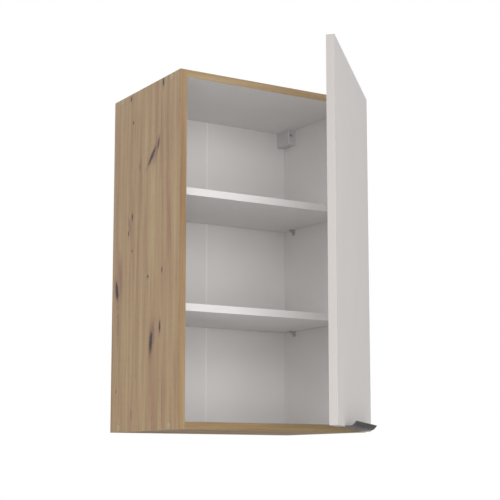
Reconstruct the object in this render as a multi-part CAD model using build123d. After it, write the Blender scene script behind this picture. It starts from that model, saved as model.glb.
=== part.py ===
"""Hanging wall cabinet with one hinged door, built piece by piece.

Frame, in millimetres: +X to the right seen from the front, +Y into the wall, +Z up.
The origin is on the wall plane, midway between the two hanging hooks, at the level
where they rest on the wall rail. The door is modelled part open.
"""

from build123d import *
import math
import os

# ---- carcass ------------------------------------------------------------------
WIDTH = 450.0
HEIGHT = 720.0
DEPTH = 300.0
BOARD = 15.0
EDGE_BAND = 0.8
HOOK_DROP = 38.0          # from the top of the cabinet down to the wall rail
BACK_BOARD = 3.0
BACK_INSET = 11.0         # from the wall plane to the rear face of the back panel
GROOVE_DEPTH = 7.0
GROOVE_SLACK = 0.2        # each side of the back panel, and at the groove's bottom
STRIP_WIDTH = 4.0
STRIP_FLANGE = 0.6
STRIP_WEB = 1.0

# ---- fastenings of the carcass --------------------------------------------------
SCREW_FROM_EDGE = 38.0    # confirmat screws from the front and rear edges
SCREW_LENGTH = 50.0
SCREW_SHANK_R = 3.4
SCREW_THREAD_R = 2.4
SCREW_HEAD_R = 4.9
SCREW_HEAD = 3.0
SCREW_SLACK = 0.1
CAP_R = 6.5
CAP_THICK = 0.6
DOWEL_R = 3.9
DOWEL_LENGTH = 30.0
DOWEL_IN_SIDE = 10.0

# ---- shelves --------------------------------------------------------------------
SHELF_BOARD = 15.0
SHELF_SETBACK = 26.0      # from the front of the carcass
SHELF_SIDE_GAP = 1.0
SHELF_BACK_GAP = 2.0
LOWER_SHELF = 235.0       # underside, above the bottom of the cabinet
UPPER_SHELF = 470.0
PEG_R = 2.45
PEG_DEPTH = 8.0
PEG_HOLE_SLACK = 0.05
PEG_FROM_EDGE = 37.0      # from the shelf's front and rear edges
PEG_PLATE = 1.5
PEG_WIDTH = 10.0
PEG_DROP = 12.0
PEG_LEDGE = 11.0
PEG_LEDGE_THICK = 2.0

# ---- door -----------------------------------------------------------------------
DOOR_BOARD = 16.0
DOOR_MARGIN = 1.0         # door edge inside the carcass outline, all round
DOOR_GAP = 2.0            # between the closed door and the carcass
DOOR_BAND = 1.0
DOOR_OPEN = 45.7          # angle at rest, in degrees
BUMPER_R = 4.0
BUMPER_THICK = 1.2
BUMPER_INSET = 7.0

# ---- handle: a sheet profile let into the door's lower edge ----------------------
HANDLE_LENGTH = 288.0
HANDLE_SHEET = 2.0
HANDLE_REACH = 9.0        # flat part in front of the door
HANDLE_RISE_R = 10.0      # radius of the bend, on its upper side
HANDLE_RISE_ANGLE = 49.0
HANDLE_LIP = 7.5          # straight part beyond the bend
HANDLE_SCREW_PITCH = 96.0
HANDLE_SCREW_R = 1.75
HANDLE_SCREW_SINK = 1.5
HANDLE_SCREW_LENGTH = 15.5

# ---- hinges ---------------------------------------------------------------------
HINGE_FROM_END = 100.0    # hinge centre from the door's top and bottom edges
CUP_R = 17.4
CUP_DEPTH = 12.2
CUP_WALL = 0.8
CUP_EDGE = 3.0            # board left between the cup's bore and the door's edge
CUP_SLACK = 0.1
WING_LENGTH = 62.0
WING_THICK = 1.2
WING_SCREW_PITCH = 45.0
WING_SCREW_OFFSET = 9.5   # from the cup's centre, away from the door's edge
WING_SCREW_DEPTH = 11.0
WING_SCREW_R = 1.75
WING_HEAD_R = 3.4
WING_HEAD = 1.8
PLATE_SETBACK = 37.0      # mounting screws behind the carcass front
PLATE_SCREW_PITCH = 32.0
PLATE_SCREW_DEPTH = 11.0
PLATE_WING = 2.5
PLATE_SCREW_R = 2.0
PLATE_HEAD_R = 3.6
PLATE_HEAD = 2.0
ARM_LOW = 22.0            # arm's underside and top, inward from the closed door's edge
ARM_HIGH = 38.0
ARM_SHEET = 1.4
ARM_HALF = 9.8
ARM_START = 14.0          # arm's front and rear ends behind the carcass front
ARM_END = 62.0
ARM_SCREWS = (32.0, 52.0)
ARM_SCREW_R = 1.8
ARM_HEAD_R = 3.4
ARM_HEAD = 1.6
PIN_R = 1.25
PIN_SLACK = 0.06
PIN_CUT = 9.0             # half-height of a pin hole's cut, beyond every layer
# Pivots: inward from the door's hinge edge and behind its rear face, door closed.
SHORT_ARM_PIVOT = (26.023, -7.423)
SHORT_CUP_PIVOT = (9.861, -5.910)
LONG_ARM_PIVOT = (40.0, 5.488)
LONG_CUP_PIVOT = (8.971, -2.0)
SHORT_RATIO = -0.606      # turn of the short link for one turn of the door
LONG_TIP_SHIFT = (0.197, -0.608)   # of the long link's free eye from the cup's pin, at rest
OPEN_PIVOT_SLACK = 0.85   # the free eye is larger than the pin by this, all round
# Half-heights of the layers that the hinge's flat pieces lie in.
TONGUE_LAYER = 2.5
SHORT_LAYER = (3.3, 4.5)
LUG_LAYER = (4.8, 6.3)
LONG_LAYER = (6.6, 8.0)
EYE_R = 2.8
OPEN_EYE_R = 2.8
SHORT_WIDE = 3.0
SHORT_BULGE = 2.9         # both links bow, so that they clear the door's rim when it is open
LONG_WIDE = 3.4
LONG_BULGE = 2.3

# ---- hanging brackets -----------------------------------------------------------
HANGER_WIDE = 20.0
HANGER_DEEP = 47.0
HANGER_HIGH = 35.0
COVER_WALL = 1.2
HANGER_SHEET = 1.5
HANGER_SCREW_R = 2.0
HANGER_SCREW_SLACK = 0.3

# ---- derived places -------------------------------------------------------------
HALF = WIDTH / 2
SIDE_FACE = HALF - BOARD
FRONT = -DEPTH
TOP = HOOK_DROP
BOTTOM = TOP - HEIGHT
BACK_REAR = -BACK_INSET
BACK_FRONT = BACK_REAR - BACK_BOARD
INNER_TOP = TOP - BOARD
INNER_BOTTOM = BOTTOM + BOARD
BOARD_FRONT = FRONT + EDGE_BAND
DOOR_REAR = FRONT - DOOR_GAP
DOOR_EDGE = HALF - DOOR_MARGIN
DOOR_WIDTH = WIDTH - 2 * DOOR_MARGIN
DOOR_LOW = BOTTOM + DOOR_MARGIN
DOOR_HIGH = TOP - DOOR_MARGIN


def block(x0, x1, y0, y1, z0, z1):
    """A box between two corners."""
    size = (abs(x1 - x0), abs(y1 - y0), abs(z1 - z0))
    return Pos((x0 + x1) / 2, (y0 + y1) / 2, (z0 + z1) / 2) * Box(*size)


def rod_x(x0, x1, y, z, radius):
    """A round bar along X."""
    bar = Cylinder(radius, abs(x1 - x0))
    return Pos((x0 + x1) / 2, y, z) * Rot(0, 90, 0) * bar


def rod_y(x, y0, y1, z, radius):
    """A round bar along Y."""
    bar = Cylinder(radius, abs(y1 - y0))
    return Pos(x, (y0 + y1) / 2, z) * Rot(90, 0, 0) * bar


def rod_z(x, y, z0, z1, radius):
    """A round bar along Z."""
    return Pos(x, y, (z0 + z1) / 2) * Cylinder(radius, abs(z1 - z0))


parts = {}


def keep(name, *solids):
    """Files one named sub-part, made of one solid or several alike."""
    parts[name] = solids


# ---- what is cut out of the boards for their fastenings ---------------------------
def corner_levels():
    """Mid-heights of the bottom and top panels."""
    return (BOTTOM + BOARD / 2, TOP - BOARD / 2)


def screw_depths():
    """Where the confirmat screws sit along the depth."""
    return (FRONT + SCREW_FROM_EDGE, -SCREW_FROM_EDGE)


def confirmat(side, y, z, slack=0.0, head_extra=0.0):
    """One confirmat screw, its head sunk level with the outer face of a side panel."""
    outer = side * HALF
    neck = side * (HALF - SCREW_HEAD)
    step = side * (SIDE_FACE - SCREW_SLACK)
    tip = side * (HALF - SCREW_LENGTH - slack)
    head = rod_x(outer + side * head_extra, neck, y, z, SCREW_HEAD_R + slack)
    shank = rod_x(neck, step, y, z, SCREW_SHANK_R + slack)
    thread = rod_x(step, tip, y, z, SCREW_THREAD_R + slack)
    return head + shank + thread


def dowel(side, z, slack=0.0):
    """One wooden dowel across the joint of a side panel and a level panel."""
    start = side * (SIDE_FACE + DOWEL_IN_SIDE + slack)
    end = side * (SIDE_FACE + DOWEL_IN_SIDE - DOWEL_LENGTH - slack)
    return rod_x(start, end, FRONT + DEPTH / 2, z, DOWEL_R + slack)


def groove():
    """The slot that runs round the inside of the carcass for the back panel."""
    reach = SIDE_FACE + GROOVE_DEPTH
    return block(-reach, reach, BACK_FRONT - GROOVE_SLACK, BACK_REAR + GROOVE_SLACK,
                 INNER_BOTTOM - GROOVE_DEPTH, INNER_TOP + GROOVE_DEPTH)


def shelf_levels():
    """Undersides of the lower and upper shelves."""
    return {"lower": BOTTOM + LOWER_SHELF, "upper": BOTTOM + UPPER_SHELF}


def peg_depths():
    """Where the shelf pegs sit along the depth."""
    shelf_front = FRONT + SHELF_SETBACK
    shelf_rear = BACK_FRONT - SHELF_BACK_GAP
    return (shelf_front + PEG_FROM_EDGE, shelf_rear - PEG_FROM_EDGE)


def peg_holes(side):
    """Bores in a side panel for its shelf pegs."""
    holes = []
    for level in shelf_levels().values():
        for y in peg_depths():
            start = side * (SIDE_FACE - 1)
            end = side * (SIDE_FACE + PEG_DEPTH + PEG_HOLE_SLACK)
            holes.append(rod_x(start, end, y, level - PEG_DROP / 2, PEG_R + PEG_HOLE_SLACK))
    return holes


# ---- carcass ------------------------------------------------------------------
def side_panel(side):
    """A full-height side, drilled and grooved."""
    panel = block(side * SIDE_FACE, side * HALF, BOARD_FRONT, 0, BOTTOM, TOP)
    cuts = [groove()] + peg_holes(side)
    for z in corner_levels():
        cuts.append(dowel(side, z, SCREW_SLACK))
        for y in screw_depths():
            cuts.append(confirmat(side, y, z, SCREW_SLACK, head_extra=1))
    if side > 0:
        cuts += hinge_bores()
    cuts += hanger_bores(side)
    return panel - cuts


def level_panel(low, high, mid):
    """The top or bottom panel, between the sides."""
    panel = block(-SIDE_FACE, SIDE_FACE, BOARD_FRONT, 0, low, high)
    cuts = [groove()]
    for side in (-1, 1):
        cuts.append(dowel(side, mid, SCREW_SLACK))
        for y in screw_depths():
            cuts.append(confirmat(side, y, mid, SCREW_SLACK))
    return panel - cuts


def edge_bands():
    """Oak strips along the front edges of the four carcass panels."""
    strips = []
    for side in (-1, 1):
        strips.append(block(side * SIDE_FACE, side * HALF, FRONT, BOARD_FRONT, BOTTOM, TOP))
    for low, high in ((BOTTOM, INNER_BOTTOM), (INNER_TOP, TOP)):
        strips.append(block(-SIDE_FACE, SIDE_FACE, FRONT, BOARD_FRONT, low, high))
    return strips


def back_half(side):
    """One half of the back panel, notched at its top corner for the hanging bracket."""
    reach = SIDE_FACE + GROOVE_DEPTH - GROOVE_SLACK
    low = INNER_BOTTOM - GROOVE_DEPTH + GROOVE_SLACK
    high = INNER_TOP + GROOVE_DEPTH - GROOVE_SLACK
    panel = block(side * STRIP_WEB / 2, side * reach, BACK_FRONT, BACK_REAR, low, high)
    notch = block(side * (SIDE_FACE - HANGER_WIDE + COVER_WALL + 1), side * (reach + 1),
                  BACK_FRONT - 1, BACK_REAR + 1,
                  INNER_TOP - HANGER_HIGH + COVER_WALL + 1, high + 1)
    return panel - notch


def joint_strip():
    """The H-shaped strip that joins the two halves of the back panel."""
    web = block(-STRIP_WEB / 2, STRIP_WEB / 2, BACK_FRONT, BACK_REAR, INNER_BOTTOM, INNER_TOP)
    half = STRIP_WIDTH / 2
    front = block(-half, half, BACK_FRONT - STRIP_FLANGE, BACK_FRONT, INNER_BOTTOM, INNER_TOP)
    rear = block(-half, half, BACK_REAR, BACK_REAR + STRIP_FLANGE, INNER_BOTTOM, INNER_TOP)
    return web + front + rear


def build_carcass():
    """The fixed box of the cabinet."""
    low_mid, high_mid = corner_levels()
    keep("left_side_panel", side_panel(-1))
    keep("right_side_panel", side_panel(1))
    keep("bottom_panel", level_panel(BOTTOM, INNER_BOTTOM, low_mid))
    keep("top_panel", level_panel(INNER_TOP, TOP, high_mid))
    keep("front_edge_bands", *edge_bands())
    keep("back_panel_left", back_half(-1))
    keep("back_panel_right", back_half(1))
    keep("back_joint_strip", joint_strip())
    screws, caps, dowels = [], [], []
    for side in (-1, 1):
        for z in corner_levels():
            dowels.append(dowel(side, z))
            for y in screw_depths():
                socket = RegularPolygon(2.3, 6)
                hexagon = extrude(Plane((side * HALF, y, z), z_dir=(-side, 0, 0)) * socket, 2.2)
                screws.append(confirmat(side, y, z) - hexagon)
                caps.append(rod_x(side * HALF, side * (HALF + CAP_THICK), y, z, CAP_R))
    keep("confirmat_screws", *screws)
    keep("screw_cover_caps", *caps)
    keep("wooden_dowels", *dowels)


# ---- shelves ------------------------------------------------------------------
def shelf(level):
    """A loose shelf and the strip on its front edge."""
    reach = SIDE_FACE - SHELF_SIDE_GAP
    front = FRONT + SHELF_SETBACK
    rear = BACK_FRONT - SHELF_BACK_GAP
    board = block(-reach, reach, front + EDGE_BAND, rear, level, level + SHELF_BOARD)
    band = block(-reach, reach, front, front + EDGE_BAND, level, level + SHELF_BOARD)
    return board, band


def shelf_peg(side, y, level):
    """A peg with a small bracket that the shelf lies on."""
    face = side * SIDE_FACE
    plate = block(face, face - side * PEG_PLATE, y - PEG_WIDTH / 2, y + PEG_WIDTH / 2,
                  level - PEG_DROP, level)
    ledge = block(face, face - side * PEG_LEDGE, y - PEG_WIDTH / 2, y + PEG_WIDTH / 2,
                  level - PEG_LEDGE_THICK, level)
    corner = Polyline((face, level - PEG_DROP), (face - side * PEG_LEDGE, level - PEG_LEDGE_THICK),
                      (face, level - PEG_LEDGE_THICK), close=True)
    outline = Plane(origin=(0, y - PEG_PLATE / 2, 0), x_dir=(1, 0, 0), z_dir=(0, -1, 0))
    rib = extrude(outline * make_face(corner), -PEG_PLATE)
    stem = rod_x(face, face + side * PEG_DEPTH, y, level - PEG_DROP / 2, PEG_R)
    return plate + ledge + rib + stem


def build_shelves():
    """Two loose shelves, each on four pegs."""
    for name, level in shelf_levels().items():
        board, band = shelf(level)
        keep(f"{name}_shelf", board)
        keep(f"{name}_shelf_edge", band)
        pegs = [shelf_peg(side, y, level) for side in (-1, 1) for y in peg_depths()]
        keep(f"{name}_shelf_pegs", *pegs)


# ---- hanging brackets -----------------------------------------------------------
HANGER_TOP = INNER_TOP
HANGER_LOW = INNER_TOP - HANGER_HIGH
LIFT_SCREW_IN = 6.0       # height screw, inward from the side panel
LIFT_SCREW_FORE = 30.0    # and forward of the back panel
DRAW_SCREW_IN = 12.0
DRAW_SCREW_LEVEL = 10.0   # above the wall rail
CARRIER = (2.2, 15.8, 24.0, 37.5, 2.0, 15.0)
HOOK_STRIP = 3.0
HOOK_HIGH = 6.5
HOOK_NOSE = 9.0
HOOK_NOSE_GAP = 7.0       # rail lip's room between the back panel and the nose
HOOK_NOSE_THICK = 2.5
FIXING_SPOTS = ((10.0, HANGER_TOP - 8.0), (41.0, HANGER_TOP - 21.0))
FIXING_R = 1.75
FIXING_HEAD_R = 3.0
FIXING_DEPTH = 12.0


def bracket_block(side, box):
    """A box given inward from the side, forward of the back panel, and by level."""
    in0, in1, fore0, fore1, low, high = box
    face = side * SIDE_FACE
    return block(face - side * in0, face - side * in1, BACK_FRONT - fore0, BACK_FRONT - fore1,
                 low, high)


def hanger_bores(side):
    """Pilot holes in a side panel for the bracket's fixing screws."""
    face = side * SIDE_FACE
    depth = side * (SIDE_FACE + FIXING_DEPTH + SCREW_SLACK)
    return [rod_x(face - side, depth, BACK_FRONT - fore, level, FIXING_R + SCREW_SLACK)
            for fore, level in FIXING_SPOTS]


def lift_screw_axis(side):
    """Plan position of the bracket's height screw."""
    return side * (SIDE_FACE - LIFT_SCREW_IN), BACK_FRONT - LIFT_SCREW_FORE


def draw_screw_x(side):
    """Where the bracket's depth screw sits across the cabinet."""
    return side * (SIDE_FACE - DRAW_SCREW_IN)


def cross_slot(centre, outward, radius, depth):
    """A cross-shaped driver recess in a screw head."""
    plane = Plane(centre, z_dir=outward)
    cross = Rectangle(2 * radius, 0.8) + Rectangle(0.8, 2 * radius)
    return extrude(plane * cross, -depth)


def hanger_frame(side):
    """The steel channel screwed to the side panel."""
    low = HANGER_LOW + COVER_WALL + 3.5
    high = HANGER_TOP - COVER_WALL - 0.6
    x, y = lift_screw_axis(side)
    wide = CARRIER[1] + 0.6
    web = bracket_block(side, (0, HANGER_SHEET, 2, 45, HANGER_LOW + COVER_WALL + 0.8, high))
    top = bracket_block(side, (0, wide, 2, 45, high - HANGER_SHEET, high))
    foot = bracket_block(side, (0, wide, 20, 45, low, low + HANGER_SHEET))
    frame = web + top + foot
    frame -= rod_z(x, y, low - 1, low + HANGER_SHEET + 1, HANGER_SCREW_R + HANGER_SCREW_SLACK)
    for fore, level in FIXING_SPOTS:
        hole = rod_x(side * (SIDE_FACE + 1), side * (SIDE_FACE - HANGER_SHEET - 1),
                     BACK_FRONT - fore, level, FIXING_R + SCREW_SLACK)
        frame -= hole
    return frame


def hanger_screws(side):
    """The two screws that hold the bracket to the side panel."""
    screws = []
    for fore, level in FIXING_SPOTS:
        y = BACK_FRONT - fore
        under = side * (SIDE_FACE - HANGER_SHEET)
        face = side * (SIDE_FACE - HANGER_SHEET - 1.8)
        head = rod_x(under, face, y, level, FIXING_HEAD_R)
        shank = rod_x(under, side * (SIDE_FACE + FIXING_DEPTH), y, level, FIXING_R)
        screws.append(head + shank - cross_slot((face, y, level), (-side, 0, 0), 2.0, 1.0))
    return screws


def hanger_cover(side):
    """The plastic cap over the bracket, with its screwdriver holes."""
    outer = bracket_block(side, (0, HANGER_WIDE, 0, HANGER_DEEP, HANGER_LOW, HANGER_TOP))
    upright = outer.edges().filter_by(Axis.Z).sort_by(Axis.Y)[:2]
    inward = upright.sort_by(Axis.X)[0] if side > 0 else upright.sort_by(Axis.X)[-1]
    outer = fillet(inward, 2.0)
    inner = bracket_block(side, (-1, HANGER_WIDE - COVER_WALL, -1, HANGER_DEEP - COVER_WALL,
                                 HANGER_LOW + COVER_WALL, HANGER_TOP - COVER_WALL))
    x, y = lift_screw_axis(side)
    front = BACK_FRONT - HANGER_DEEP
    cuts = [inner,
            rod_z(x, y, HANGER_LOW - 1, HANGER_LOW + COVER_WALL + 0.5, 2.6),
            rod_y(draw_screw_x(side), front - 1, front + COVER_WALL + 0.5, DRAW_SCREW_LEVEL, 2.8)]
    face = side * (SIDE_FACE - HANGER_WIDE)
    for fore in (0.25, 0.8):
        cuts.append(rod_x(face - side, face + side * (COVER_WALL + 0.5),
                          BACK_FRONT - fore * HANGER_DEEP, HANGER_LOW + 3.5, 1.4))
    return outer - cuts


def hanger_carrier(side):
    """The block that rides up and down on the height screw and carries the hook."""
    x, y = lift_screw_axis(side)
    body = bracket_block(side, CARRIER)
    low, high = CARRIER[4] - 1, CARRIER[5] + 1
    bore = HANGER_SCREW_R + HANGER_SCREW_SLACK
    body -= rod_z(x, y, low, high, bore)
    body -= rod_y(draw_screw_x(side), BACK_FRONT - CARRIER[2] + 1, BACK_FRONT - CARRIER[3] - 1,
                  DRAW_SCREW_LEVEL, bore)
    return body


def lift_screw(side):
    """The upright screw that raises the carrier, its head under the channel's foot."""
    x, y = lift_screw_axis(side)
    foot = HANGER_LOW + COVER_WALL + 3.5
    head = rod_z(x, y, foot - 2.6, foot, 3.4)
    shank = rod_z(x, y, foot, HANGER_TOP - COVER_WALL - 0.6 - HANGER_SHEET - 0.5, HANGER_SCREW_R)
    return head + shank - cross_slot((x, y, foot - 2.6), (0, 0, -1), 2.3, 1.3)


def draw_screw(side):
    """The level screw that draws the hook, its head in front of the carrier."""
    x = draw_screw_x(side)
    seat = BACK_FRONT - CARRIER[3]
    head = rod_y(x, seat, seat - 3.0, DRAW_SCREW_LEVEL, 3.2)
    shank = rod_y(x, seat, BACK_FRONT - 3.0, DRAW_SCREW_LEVEL, HANGER_SCREW_R)
    return head + shank - cross_slot((x, seat - 3.0, DRAW_SCREW_LEVEL), (0, -1, 0), 2.3, 1.4)


def hanger_hook(side):
    """The steel hook: a strip, a threaded lug on it, and a nose that drops behind the rail."""
    near = DRAW_SCREW_IN - HOOK_STRIP / 2
    far = DRAW_SCREW_IN + HOOK_STRIP / 2
    rear = -(BACK_BOARD + HOOK_NOSE_GAP)
    nose_rear = rear - HOOK_NOSE_THICK
    strip = bracket_block(side, (near, far, 17, nose_rear, 0, HOOK_HIGH))
    nose = bracket_block(side, (near, far, rear, nose_rear, -HOOK_NOSE, HOOK_HIGH))
    lug = bracket_block(side, (8.6, 15.6, 10, 17, 0, CARRIER[5]))
    bore = rod_y(draw_screw_x(side), BACK_FRONT + 20, BACK_FRONT - 25, DRAW_SCREW_LEVEL,
                 HANGER_SCREW_R + HANGER_SCREW_SLACK)
    return strip + nose + (lug - bore)


def build_hangers():
    """A pair of adjustable hanging brackets in the top rear corners."""
    for word, side in (("left", -1), ("right", 1)):
        keep(f"{word}_hanger_frame", hanger_frame(side))
        keep(f"{word}_hanger_fixing_screws", *hanger_screws(side))
        keep(f"{word}_hanger_cover", hanger_cover(side))
        keep(f"{word}_hanger_carrier", hanger_carrier(side))
        keep(f"{word}_height_screw", lift_screw(side))
        keep(f"{word}_depth_screw", draw_screw(side))
        keep(f"{word}_wall_hook", hanger_hook(side))


# ---- hinge geometry ---------------------------------------------------------------
def hinge_point(pair):
    """A pivot's place with the door closed, from the door's hinge edge and rear face."""
    inward, behind = pair
    return Vector(DOOR_EDGE - inward, DOOR_REAR + behind)


def turned(vector, degrees):
    """A plan vector turned anticlockwise seen from above."""
    return vector.rotate(Axis.Z, degrees)


SHORT_AT_ARM = hinge_point(SHORT_ARM_PIVOT)
SHORT_AT_CUP = hinge_point(SHORT_CUP_PIVOT)
LONG_AT_ARM = hinge_point(LONG_ARM_PIVOT)
LONG_AT_CUP = hinge_point(LONG_CUP_PIVOT)
SHORT_TIP = SHORT_AT_ARM + turned(SHORT_AT_CUP - SHORT_AT_ARM, SHORT_RATIO * DOOR_OPEN)
LONG_TIP = SHORT_TIP + turned(LONG_AT_CUP - SHORT_AT_CUP, DOOR_OPEN) + Vector(*LONG_TIP_SHIFT)
CUP_X = DOOR_EDGE - CUP_EDGE - CUP_R - CUP_SLACK
WING_X = CUP_X - WING_SCREW_OFFSET


def opened(solid):
    """Carries a piece of the closed door to where it is with the door part open."""
    closed = Pos(-SHORT_AT_CUP.X, -SHORT_AT_CUP.Y, 0)
    return Pos(SHORT_TIP.X, SHORT_TIP.Y, 0) * Rot(0, 0, DOOR_OPEN) * closed * solid


def hinge_levels():
    """Centre heights of the two hinges."""
    return {"lower": DOOR_LOW + HINGE_FROM_END, "upper": DOOR_HIGH - HINGE_FROM_END}


def slab(outline, low, high):
    """A flat outline in plan, given thickness between two levels."""
    return extrude(Pos(0, 0, low) * outline, high - low)


def twin(outline, level, layer):
    """Two like plates, one above and one below the hinge's centre."""
    near, far = layer
    return slab(outline, level + near, level + far), slab(outline, level - far, level - near)


def disc(point, radius):
    """A round outline about a pivot."""
    return Pos(point.X, point.Y) * Circle(radius)


def link_outline(start, end, width, bulge, start_eye, end_eye):
    """A link's outline: a bowed bar with an eye at each end."""
    along = end - start
    middle = (start + end) * 0.5 + turned(along.normalized(), -90) * bulge
    bar = trace(ThreePointArc(start, middle, end), width)
    return bar + disc(start, start_eye) + disc(end, end_eye)


def pin(point, level, reach, low=None):
    """A pivot pin through all layers, or a pair of stubs when low is given."""
    if low is None:
        return [rod_z(point.X, point.Y, level - reach, level + reach, PIN_R)]
    return [rod_z(point.X, point.Y, level + low, level + reach, PIN_R),
            rod_z(point.X, point.Y, level - reach, level - low, PIN_R)]


def hinge_bores():
    """Pilot holes in the right side panel for the mounting plates' screws."""
    holes = []
    for level in hinge_levels().values():
        for step in (-0.5, 0.5):
            holes.append(rod_x(SIDE_FACE - 1, SIDE_FACE + PLATE_SCREW_DEPTH + SCREW_SLACK,
                               FRONT + PLATE_SETBACK, level + step * PLATE_SCREW_PITCH,
                               PLATE_SCREW_R + SCREW_SLACK))
    return holes


def mounting_plate(level):
    """The winged plate on the side panel that the arm sits on."""
    top = DOOR_EDGE - ARM_LOW
    y0, y1 = FRONT + ARM_START + 8, FRONT + ARM_END - 2
    base = block(top, SIDE_FACE, y0, y1, level - ARM_HALF, level + ARM_HALF)
    wing_half = PLATE_SCREW_PITCH / 2 + 7
    mid = FRONT + PLATE_SETBACK
    wings = block(SIDE_FACE - PLATE_WING, SIDE_FACE, mid - 7, mid + 7,
                  level - wing_half, level + wing_half)
    tips = wings.edges().filter_by(Axis.X)
    plate = base + fillet(tips, 4.0)
    for step in (-0.5, 0.5):
        plate -= rod_x(SIDE_FACE - PLATE_WING - 1, SIDE_FACE + 1, mid,
                       level + step * PLATE_SCREW_PITCH, PLATE_SCREW_R + SCREW_SLACK)
    for behind in ARM_SCREWS:
        plate -= rod_x(top - 1, SIDE_FACE - PLATE_WING, FRONT + behind, level,
                       ARM_SCREW_R + SCREW_SLACK)
    return plate


def plate_screws(level):
    """Two screws that hold a mounting plate."""
    screws = []
    under = SIDE_FACE - PLATE_WING
    for step in (-0.5, 0.5):
        y, z = FRONT + PLATE_SETBACK, level + step * PLATE_SCREW_PITCH
        head = rod_x(under, under - PLATE_HEAD, y, z, PLATE_HEAD_R)
        shank = rod_x(under, SIDE_FACE + PLATE_SCREW_DEPTH, y, z, PLATE_SCREW_R)
        slot = cross_slot((under - PLATE_HEAD, y, z), (-1, 0, 0), 2.4, 1.2)
        screws.append(head + shank - slot)
    return screws


def hinge_arm(level):
    """The arm: a channel on the plate, and a tongue that carries both link pivots."""
    foot, crown = DOOR_EDGE - ARM_LOW, DOOR_EDGE - ARM_HIGH
    y0, y1 = FRONT + ARM_START, FRONT + ARM_END
    shell = block(crown, foot, y0, y1, level - ARM_HALF, level + ARM_HALF)
    shell -= block(crown + ARM_SHEET, foot + 1, y0 - 1, y1 - ARM_SHEET,
                   level - ARM_HALF + ARM_SHEET, level + ARM_HALF - ARM_SHEET)
    root = Pos((foot + crown) / 2, y0 + 5) * Rectangle(foot - crown - 2, 10)
    nose = make_hull((root + disc(SHORT_AT_ARM, 3.0)).edges())
    hump = make_hull((root + disc(LONG_AT_ARM, 3.2)).edges())
    tongue = slab(nose + hump, level - TONGUE_LAYER, level + TONGUE_LAYER)
    tongue -= rod_z(SHORT_AT_ARM.X, SHORT_AT_ARM.Y, level - PIN_CUT, level + PIN_CUT, PIN_R)
    tongue -= rod_z(LONG_AT_ARM.X, LONG_AT_ARM.Y, level - PIN_CUT, level + PIN_CUT, PIN_R)
    arm = shell + tongue
    for behind in ARM_SCREWS:
        arm -= rod_x(crown - 1, crown + ARM_SHEET + 1, FRONT + behind, level,
                     ARM_SCREW_R + SCREW_SLACK)
    return arm


def arm_screws(level):
    """The two adjusting screws on an arm."""
    crown = DOOR_EDGE - ARM_HIGH
    screws = []
    for behind in ARM_SCREWS:
        y = FRONT + behind
        head = rod_x(crown, crown - ARM_HEAD, y, level, ARM_HEAD_R)
        shank = rod_x(crown, SIDE_FACE - PLATE_WING - 1, y, level, ARM_SCREW_R)
        slot = cross_slot((crown - ARM_HEAD, y, level), (-1, 0, 0), 2.4, 1.0)
        screws.append(head + shank - slot)
    return screws


def short_link(level):
    """The short link: two bowed plates joined by a sleeve on the cup's pin."""
    outline = link_outline(SHORT_AT_ARM, SHORT_TIP, SHORT_WIDE, SHORT_BULGE, EYE_R, EYE_R)
    upper, lower = twin(outline, level, SHORT_LAYER)
    reach = SHORT_LAYER[0]
    sleeve = rod_z(SHORT_TIP.X, SHORT_TIP.Y, level - reach, level + reach, EYE_R)
    link = upper + lower + sleeve
    for point in (SHORT_AT_ARM, SHORT_TIP):
        link -= rod_z(point.X, point.Y, level - PIN_CUT, level + PIN_CUT, PIN_R + PIN_SLACK)
    return link


def long_link(level):
    """The long link: two bowed plates, each with a roomy eye at the cup end."""
    outline = link_outline(LONG_AT_ARM, LONG_TIP, LONG_WIDE, LONG_BULGE, EYE_R, OPEN_EYE_R)
    plates = []
    for plate in twin(outline, level, LONG_LAYER):
        plate -= rod_z(LONG_AT_ARM.X, LONG_AT_ARM.Y, level - PIN_CUT, level + PIN_CUT, PIN_R + PIN_SLACK)
        plate -= rod_z(LONG_TIP.X, LONG_TIP.Y, level - PIN_CUT, level + PIN_CUT, PIN_R + OPEN_PIVOT_SLACK)
        plates.append(plate)
    return plates


def hinge_cup(level):
    """The pressed cup with its screw wings and the two lugs that hold its pins."""
    floor = DOOR_REAR - CUP_DEPTH
    body = rod_y(CUP_X, DOOR_REAR, floor, level, CUP_R)
    wing_far, wing_near = WING_X - 6.5, SHORT_AT_CUP.X - 8
    wing = block(wing_far, wing_near, DOOR_REAR, DOOR_REAR + WING_THICK,
                 level - WING_LENGTH / 2, level + WING_LENGTH / 2)
    wing = fillet(wing.edges().filter_by(Axis.Y), 5.0)
    hollow = rod_y(CUP_X, DOOR_REAR + WING_THICK + 1, floor + CUP_WALL, level, CUP_R - CUP_WALL)
    cup = body + wing - hollow
    lug_top = LONG_AT_CUP.Y + 2.2
    lug_plan = Pos((SHORT_AT_CUP.X + LONG_AT_CUP.X) / 2, (floor + lug_top) / 2)
    lugs = twin(lug_plan * Rectangle(6.4, lug_top - floor), level, LUG_LAYER)
    within = rod_y(CUP_X, DOOR_REAR + WING_THICK, floor, level, CUP_R)
    for lug in lugs:
        cup += lug & within
    cuts = [rod_z(SHORT_AT_CUP.X, SHORT_AT_CUP.Y, level - PIN_CUT, level + PIN_CUT, PIN_R),
            rod_z(LONG_AT_CUP.X, LONG_AT_CUP.Y, level - PIN_CUT, level + PIN_CUT, PIN_R)]
    near, far = LONG_LAYER
    for side in (-1, 1):
        cuts.append(block(LONG_AT_CUP.X, DOOR_EDGE, LONG_AT_CUP.Y - 5, DOOR_REAR + 1,
                          level + side * (near - 0.2), level + side * (far + 0.4)))
    for step in (-0.5, 0.5):
        cuts.append(rod_y(WING_X, DOOR_REAR - 1, DOOR_REAR + WING_THICK + 1,
                          level + step * WING_SCREW_PITCH, WING_SCREW_R + SCREW_SLACK))
    return cup - cuts


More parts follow.
